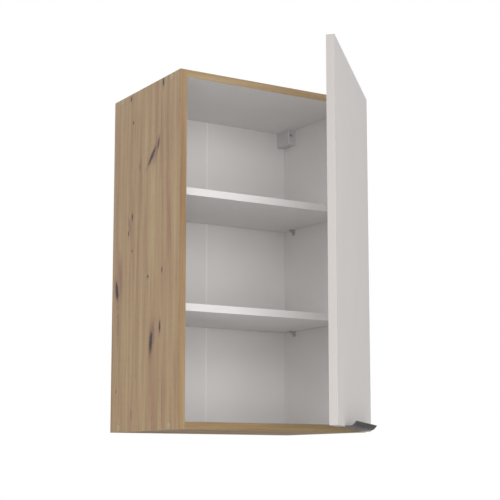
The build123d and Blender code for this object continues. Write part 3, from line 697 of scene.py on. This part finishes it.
@dataclass
class DomedDisc:
    """A moulded button with an eased rim and a gently domed top, made once and copied.

    Attributes:
        name: The finished piece's name.
        radius: The button's radius, in metres.
        thick: Its height to the top of the dome, in metres.
        rim: The height of its upright rim, in metres.
        rings: How many steps the dome rises in.
        sides: How many sides its outline has.
        rim_part: How much of the rim's height its rounding takes.
        rim_strips: How many strips that rounding is made of.
    """

    name: str
    radius: float
    thick: float
    rim: float
    rings: int = 4
    sides: int = 48
    rim_part: float = 0.4
    rim_strips: int = 3

    def model(self) -> bpy.types.Object:
        """Models one button with its base on the level plane and its dome upwards.

        Returns:
            The modelled button.
        """
        bpy.ops.object.select_all(action="DESELECT")
        bpy.ops.mesh.primitive_cylinder_add(
            vertices=self.sides, radius=self.radius, depth=self.rim, location=(0, 0, self.rim / 2)
        )
        button = bpy.context.object
        bpy.ops.object.transform_apply(location=True, rotation=True, scale=True)
        bpy.ops.object.mode_set(mode="EDIT")
        bpy.ops.mesh.select_mode(type="FACE")
        bpy.ops.mesh.select_all(action="DESELECT")
        bpy.ops.object.mode_set(mode="OBJECT")
        for face in button.data.polygons:
            face.select = face.normal.z > FACING
        bpy.ops.object.mode_set(mode="EDIT")
        crown = self.thick - self.rim
        step = self.radius / (self.rings + 1)
        for ring in range(self.rings):
            outer, inner = (1 - (ring + k) / (self.rings + 1) for k in (0, 1))
            bpy.ops.mesh.inset(thickness=step)
            bpy.ops.transform.translate(value=(0, 0, crown * (outer**2 - inner**2)))
        bpy.ops.object.mode_set(mode="OBJECT")
        rounding = button.modifiers.new("rim", "BEVEL")
        rounding.width = self.rim * self.rim_part
        rounding.segments = self.rim_strips
        rounding.limit_method = "ANGLE"
        rounding.angle_limit = SHARP_RIM
        bpy.ops.object.modifier_apply(modifier=rounding.name)
        bpy.ops.object.shade_smooth_by_angle(angle=SMOOTH_BELOW)
        return button

    def place(self, spots: Sequence[tuple[Vector, Vector]]) -> bpy.types.Object:
        """Sets a copy of the button on every spot and joins them into one piece.

        Args:
            spots: The middle of each base, and the way its dome faces.

        Returns:
            The joined piece.
        """
        first = self.model()
        copies = []
        for base, facing in spots:
            turn = facing.to_track_quat("Z", "Y").to_matrix().to_4x4()
            mesh = first.data.copy()
            mesh.transform(Matrix.Translation(base) @ turn)
            copy = bpy.data.objects.new(self.name, mesh)
            bpy.context.scene.collection.objects.link(copy)
            copies.append(copy)
        bpy.data.objects.remove(first, do_unlink=True)
        bpy.ops.object.select_all(action="DESELECT")
        for copy in copies:
            copy.select_set(True)
        bpy.context.view_layer.objects.active = copies[0]
        bpy.ops.object.join()
        joined = bpy.context.object
        joined.name = self.name
        return joined


@dataclass
class Palette:
    """Every finish of the cabinet, made once."""

    made: dict[str, bpy.types.Material] = field(default_factory=dict)

    def __post_init__(self) -> None:
        """Makes the materials."""
        finishes: tuple[Finish, ...] = (
            # Melamine pressed with a knotty oak print: dull brown streaks and inky knots on one
            # flat, slightly satin skin.
            OakDecor("oak_melamine_left", Grain.SIDE, LEFT_KNOTS, LEFT_STAINS),
            OakDecor("oak_melamine_right", Grain.SIDE, RIGHT_KNOTS, RIGHT_STAINS),
            OakDecor(
                "oak_melamine_level",
                Grain.LEVEL,
                LEVEL_KNOTS,
                LEVEL_STAINS,
                early="#9e8765",
                middle="#957b5c",
                late="#896a52",
            ),
            # Glued-on strip with the same print: narrower streaks and no knots.
            OakDecor(
                "oak_edging_upright",
                Grain.FRONT_UPRIGHT,
                early="#a38a69",
                middle="#997f5e",
                late="#8d7050",
                streak=0.009,
            ),
            OakDecor(
                "oak_edging_level",
                Grain.FRONT_LEVEL,
                early="#a28c6a",
                middle="#977f5d",
                late="#8b7150",
                streak=0.009,
            ),
            # Plain pressed melamine and its edging: an even, pale, soft grey.
            Melamine("grey_melamine", "#e6e4e3", 0.6),
            Melamine("grey_edging", "#dfdddc", 0.5),
            # Lacquered film on board and its edging: an even, warm, matt grey.
            Melamine("greige_lacquered_board", "#cbc6c4", 0.58),
            Melamine("greige_edging", "#b8b3b0", 0.55),
            # Sawn chipboard and the bare back of a fibreboard: dry, rough and speckled.
            Particle("cut_chipboard"),
            Particle("raw_fibreboard", "#957452", "#86674a", "#6e5239", 0.0012),
            # Anodised aluminium: dark and satin, with fine lines along its length.
            Metal("anodised_aluminium", "#5a5551", 0.42, 0.85, (60.0, 60.0, 1500.0)),
            # Plated steel: bright and a little cloudy, cold over zinc and warm over nickel.
            Metal("zinc_plated_steel", "#c4c4c6", 0.32),
            Metal("nickel_plated_steel", "#cfcbc4", 0.26),
            # Moulded plastic: an even light grey with a very fine grain.
            Moulded("moulded_abs", "#d2d0d0", 0.48),
            Moulded("moulded_grey_strip", "#f0eeed", 0.5),
            # Soft elastomer: pale and half clear.
            Moulded("soft_clear_elastomer", "#dedddb", 0.3, 0.5),
            # Printed film on a cover cap: the oak print's colours, paler.
            OakDecor(
                "printed_cap_film",
                Grain.SIDE,
                early="#ada088",
                middle="#a89a82",
                late="#a0917a",
            ),
            # Turned beech: pale and dry, with a short fleck.
            Particle("turned_beech", "#d2b083", "#c49f70", "#b48d60", 0.0016),
        )
        for finish in finishes:
            self.made[finish.name] = finish.make()

    def __getitem__(self, name: str) -> bpy.types.Material:
        """Gives a material by its name.

        Args:
            name: The finish's name.

        Returns:
            The material.
        """
        return self.made[name]


@dataclass
class Carcass:
    """The fixed box: panels, edging, back, and the fastenings in it.

    Attributes:
        palette: The finishes.
        half: Half the carcass's width, in metres, as are the sizes below.
        board: How thick its panels are.
        top: The level of the top panel's upper face.
        bottom: The level of the bottom panel's lower face.
        soft_edge: The rounding of its edges.
        cap_radius: A cover cap's radius.
        cap_thick: A cover cap's height.
        cap_rim: The height of a cover cap's upright rim.
    """

    palette: Palette
    half: float = 0.225
    board: float = 0.015
    top: float = 0.038
    bottom: float = -0.682
    soft_edge: float = CRISP_EDGE
    cap_radius: float = 0.0065
    cap_thick: float = 0.0006
    cap_rim: float = 0.0003

    def build(self) -> None:
        """Dresses the panels and their fittings."""
        grey, chips = self.palette["grey_melamine"], self.palette["cut_chipboard"]
        for side, sign in (("left", -1.0), ("right", 1.0)):
            decor = self.palette[f"oak_melamine_{side}"]
            dress(f"{side}_side_panel", [decor, grey, chips], self._side_chooser(sign))
            ease(f"{side}_side_panel", self.soft_edge)
            dress(
                f"back_panel_{side}",
                [grey, self.palette["raw_fibreboard"]],
                lambda normal, middle: 0 if normal.y < -MOSTLY_FACING else 1,
            )
        decor = self.palette["oak_melamine_level"]
        dress("top_panel", [decor, grey, chips], self._level_chooser(self.top, 1.0))
        dress("bottom_panel", [decor, grey, chips], self._level_chooser(self.bottom, -1.0))
        for name in ("top_panel", "bottom_panel"):
            ease(name, self.soft_edge)
        inner = self.half - self.board - SAME_LEVEL
        dress(
            "front_edge_bands",
            [self.palette["oak_edging_upright"], self.palette["oak_edging_level"]],
            lambda normal, middle: 0 if abs(middle.x) > inner else 1,
        )
        dress("back_joint_strip", [self.palette["moulded_grey_strip"]])
        dress("confirmat_screws", [self.palette["zinc_plated_steel"]])
        self._caps()
        dress("wooden_dowels", [self.palette["turned_beech"]])
        for level in UPPER_LOWER:
            dress(f"{level}_shelf_pegs", [self.palette["zinc_plated_steel"]])
            ease(f"{level}_shelf_pegs", self.soft_edge)

    def _caps(self) -> None:
        """Models the domed cover caps over the side panels' screws."""
        spots = []
        for middle in middles("screw_cover_caps", PIECE_SPAN):
            sign = math.copysign(1.0, middle.x)
            spots.append((Vector((sign * self.half, middle.y, middle.z)), Vector((sign, 0, 0))))
        cap = DomedDisc("domed_cover_caps", self.cap_radius, self.cap_thick, self.cap_rim)
        caps = cap.place(spots)
        caps.data.materials.append(self.palette["printed_cap_film"])
        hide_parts("screw_cover_caps")
        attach(caps, "carcass")
        LOG.info("modelled %s", caps.name)

    def _side_chooser(self, sign: float) -> Chooser:
        """Gives the rule for a side panel: decor outside, grey inside, chips where it is cut.

        Args:
            sign: Minus one for the left panel, and one for the right.

        Returns:
            The rule, from a face's normal and middle to its slot.
        """

        def choose(normal: Vector, middle: Vector) -> int:
            """Picks the slot of one face.

            Args:
                normal: The way the face points.
                middle: The face's middle, in metres.

            Returns:
                The slot number.
            """
            if normal.x * sign > FACING and abs(middle.x) > self.half - SAME_LEVEL:
                return 0
            if normal.x * sign < -FACING and abs(middle.x) < self.half - self.board + SAME_LEVEL:
                return 1
            return 2

        return choose

    def _level_chooser(self, outer: float, sign: float) -> Chooser:
        """Gives the rule for the top or bottom panel.

        Args:
            outer: The level of the panel's outer face, in metres.
            sign: One for the top panel, and minus one for the bottom.

        Returns:
            The rule, from a face's normal and middle to its slot.
        """

        def choose(normal: Vector, middle: Vector) -> int:
            """Picks the slot of one face.

            Args:
                normal: The way the face points.
                middle: The face's middle, in metres.

            Returns:
                The slot number.
            """
            if normal.z * sign > FACING and abs(middle.z - outer) < SAME_LEVEL:
                return 0
            depth = abs(middle.z - outer)
            if normal.z * sign < -FACING and abs(depth - self.board) < SAME_LEVEL:
                return 1
            return 2

        return choose


@dataclass
class Shelves:
    """The two loose shelves."""

    palette: Palette

    def build(self) -> None:
        """Dresses the shelves and their front edging."""
        for level in UPPER_LOWER:
            dress(
                f"{level}_shelf",
                [self.palette["grey_melamine"], self.palette["cut_chipboard"]],
                lambda normal, middle: 0 if abs(normal.z) > MOSTLY_FACING else 1,
            )
            dress(f"{level}_shelf_edge", [self.palette["grey_edging"]])


@dataclass
class Door:
    """The door, its edging, handle and bumpers.

    Attributes:
        palette: The finishes.
        bumper_radius: A bumper's radius, in metres, as are the sizes below.
        bumper_thick: A bumper's height.
        bumper_rim: The height of a bumper's upright rim.
    """

    palette: Palette
    bumper_radius: float = 0.004
    bumper_thick: float = 0.0012
    bumper_rim: float = 0.0005

    def build(self) -> None:
        """Dresses the door and its fittings."""
        dress(
            "door_panel",
            [self.palette["greige_lacquered_board"], self.palette["cut_chipboard"]],
            lambda normal, middle: 0 if abs(normal.dot(DOOR_FACING)) > FACING else 1,
        )
        dress("door_edge_bands", [self.palette["greige_edging"]])
        dress("handle", [self.palette["anodised_aluminium"]])
        ease("handle", CRISP_EDGE)
        dress("handle_screws", [self.palette["zinc_plated_steel"]])
        self._bumpers()

    def _bumpers(self) -> None:
        """Models the soft domed pads that the door closes on."""
        inward = -DOOR_FACING
        spots = []
        for middle in middles("door_bumpers", PIECE_SPAN):
            spots.append((middle - inward * (self.bumper_thick / 2), inward))
        pad = DomedDisc("domed_bumpers", self.bumper_radius, self.bumper_thick, self.bumper_rim)
        pads = pad.place(spots)
        pads.data.materials.append(self.palette["soft_clear_elastomer"])
        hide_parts("door_bumpers")
        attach(pads, "door")
        LOG.info("modelled %s", pads.name)


@dataclass
class Hinges:
    """The two concealed cup hinges."""

    palette: Palette

    def build(self) -> None:
        """Dresses the hinges' stampings, pins and screws."""
        for level in UPPER_LOWER:
            for word in ("plate", "arm", "short_link", "long_link", "cup", "arm_pins", "cup_pins"):
                dress(f"{level}_hinge_{word}", [self.palette["nickel_plated_steel"]])
            for word in ("plate", "arm", "cup"):
                ease(f"{level}_hinge_{word}", CRISP_EDGE)
            for word in ("plate_screws", "arm_screws", "cup_screws"):
                dress(f"{level}_hinge_{word}", [self.palette["zinc_plated_steel"]])


@dataclass
class Hangers:
    """The two adjustable wall brackets."""

    palette: Palette

    def build(self) -> None:
        """Dresses the brackets."""
        for side in LEFT_RIGHT:
            dress(f"{side}_hanger_cover", [self.palette["moulded_abs"]])
            ease(f"{side}_hanger_cover", MOULDED_EDGE)
            for word in (
                "hanger_frame",
                "hanger_carrier",
                "wall_hook",
                "hanger_fixing_screws",
                "height_screw",
                "depth_screw",
            ):
                dress(f"{side}_{word}", [self.palette["zinc_plated_steel"]])


@dataclass(frozen=True)
class Lamp:
    """A square soft lamp: its place and the length of its side in metres, its power in watts."""

    name: str
    place: tuple[float, float, float]
    side: float
    power: float


@dataclass
class Studio:
    """Floor, soft light and the camera.

    Attributes:
        eye: Where the camera stands, in metres.
        heading: How far it is turned from the carcass's depth to the right, in radians.
        pitch: How far it looks up, in radians.
        focal: Its focal length, in millimetres.
        sensor: The width of its sensor, in millimetres.
        rise: How far the picture is shifted, as a part of its width.
        floor_level: The floor's level, in metres.
        floor_size: The length of the floor's side, in metres.
        lamps: The lamps.
        aim: The point that every lamp faces, in metres.
        sky_heights: The heights in the sky between which its light changes.
        sky_levels: The strength of its light at and beyond those heights.
    """

    eye: tuple[float, float, float] = (-1.4300, -2.5195, -0.7550)
    heading: float = 0.55250
    pitch: float = 0.14700
    focal: float = 93.60
    sensor: float = 36.0
    rise: float = 0.05
    floor_level: float = -2.10
    floor_size: float = 5.4
    lamps: tuple[Lamp, ...] = (
        Lamp("key_lamp", (-3.0, -2.6, 1.8), 2.6, 8.0),
        Lamp("fill_lamp", (-1.35, -3.5, -0.45), 2.4, 68.0),
        Lamp("back_lamp", (1.5, 3.0, 2.0), 2.4, 26.0),
    )
    aim: tuple[float, float, float] = (0.0, -0.15, -0.3)
    sky_heights: tuple[float, float] = (-0.35, 0.5)
    sky_levels: tuple[float, float] = (0.02, 1.33)

    def build(self) -> None:
        """Sets up the whole studio."""
        self._camera()
        self._floor()
        self._lights()
        self._sky()

    def _camera(self) -> None:
        """Makes the camera and puts it to use."""
        lens = bpy.data.cameras.new("studio_camera")
        lens.sensor_width = self.sensor
        lens.lens = self.focal
        lens.shift_y = self.rise
        camera = bpy.data.objects.new("studio_camera", lens)
        bpy.context.scene.collection.objects.link(camera)
        ahead = Vector((
            math.sin(self.heading) * math.cos(self.pitch),
            math.cos(self.heading) * math.cos(self.pitch),
            math.sin(self.pitch),
        ))
        camera.location = self.eye
        camera.rotation_euler = ahead.to_track_quat("-Z", "Y").to_euler()
        bpy.context.scene.camera = camera

    def _floor(self) -> None:
        """Lays a pale floor far below the cabinet."""
        bpy.ops.object.select_all(action="DESELECT")
        bpy.ops.mesh.primitive_plane_add(size=self.floor_size, location=(0, 0, self.floor_level))
        floor = bpy.context.object
        floor.name = "studio_floor"
        floor.data.materials.append(Melamine("pale_floor", "#bababa", 0.9).make())

    def _lights(self) -> None:
        """Hangs the soft lamps: two in front and one behind."""
        for lamp in self.lamps:
            light = bpy.data.lights.new(lamp.name, "AREA")
            light.size = lamp.side
            light.energy = lamp.power
            hung = bpy.data.objects.new(lamp.name, light)
            hung.location = lamp.place
            ahead = Vector(self.aim) - Vector(lamp.place)
            hung.rotation_euler = ahead.to_track_quat("-Z", "Y").to_euler()
            bpy.context.scene.collection.objects.link(hung)

    def _sky(self) -> None:
        """Surrounds the studio with soft white light, brighter above than below.

        The camera itself sees an even white.
        """
        world = bpy.data.worlds.new("studio_sky")
        bpy.context.scene.world = world
        world.use_nodes = True
        tree = world.node_tree
        tree.nodes.clear()
        ray = node(tree, "ShaderNodeTexCoord").outputs["Generated"]
        height = node(tree, "ShaderNodeSeparateXYZ", {0: ray})
        (low, high), (dim, bright) = self.sky_heights, self.sky_levels
        level = node(
            tree,
            "ShaderNodeMapRange",
            {0: height.outputs["Z"], IN_LOW: low, IN_HIGH: high, OUT_LOW: dim, OUT_HIGH: bright},
        )
        soft = node(tree, "ShaderNodeBackground", {"Strength": level.outputs[0]})
        plain = node(tree, "ShaderNodeBackground", {"Strength": 1.0})
        plain.inputs[0].default_value = (1, 1, 1, 1)
        soft.inputs[0].default_value = (1, 1, 1, 1)
        seen = node(tree, "ShaderNodeLightPath").outputs["Is Camera Ray"]
        both = node(tree, "ShaderNodeMixShader", {0: seen, 1: soft.outputs[0], 2: plain.outputs[0]})
        node(tree, "ShaderNodeOutputWorld", {0: both.outputs[0]})
        bpy.context.scene.view_settings.view_transform = "Standard"


def main() -> None:
    """Builds the cabinet's looks and the studio, in order."""
    logging.basicConfig(level=logging.INFO, format="%(name)s: %(message)s")
    palette = Palette()
    for group in (
        Carcass(palette),
        Shelves(palette),
        Door(palette),
        Hinges(palette),
        Hangers(palette),
        Studio(),
    ):
        LOG.info("building %s", type(group).__name__)
        group.build()


if __name__ == "__main__":
    main()
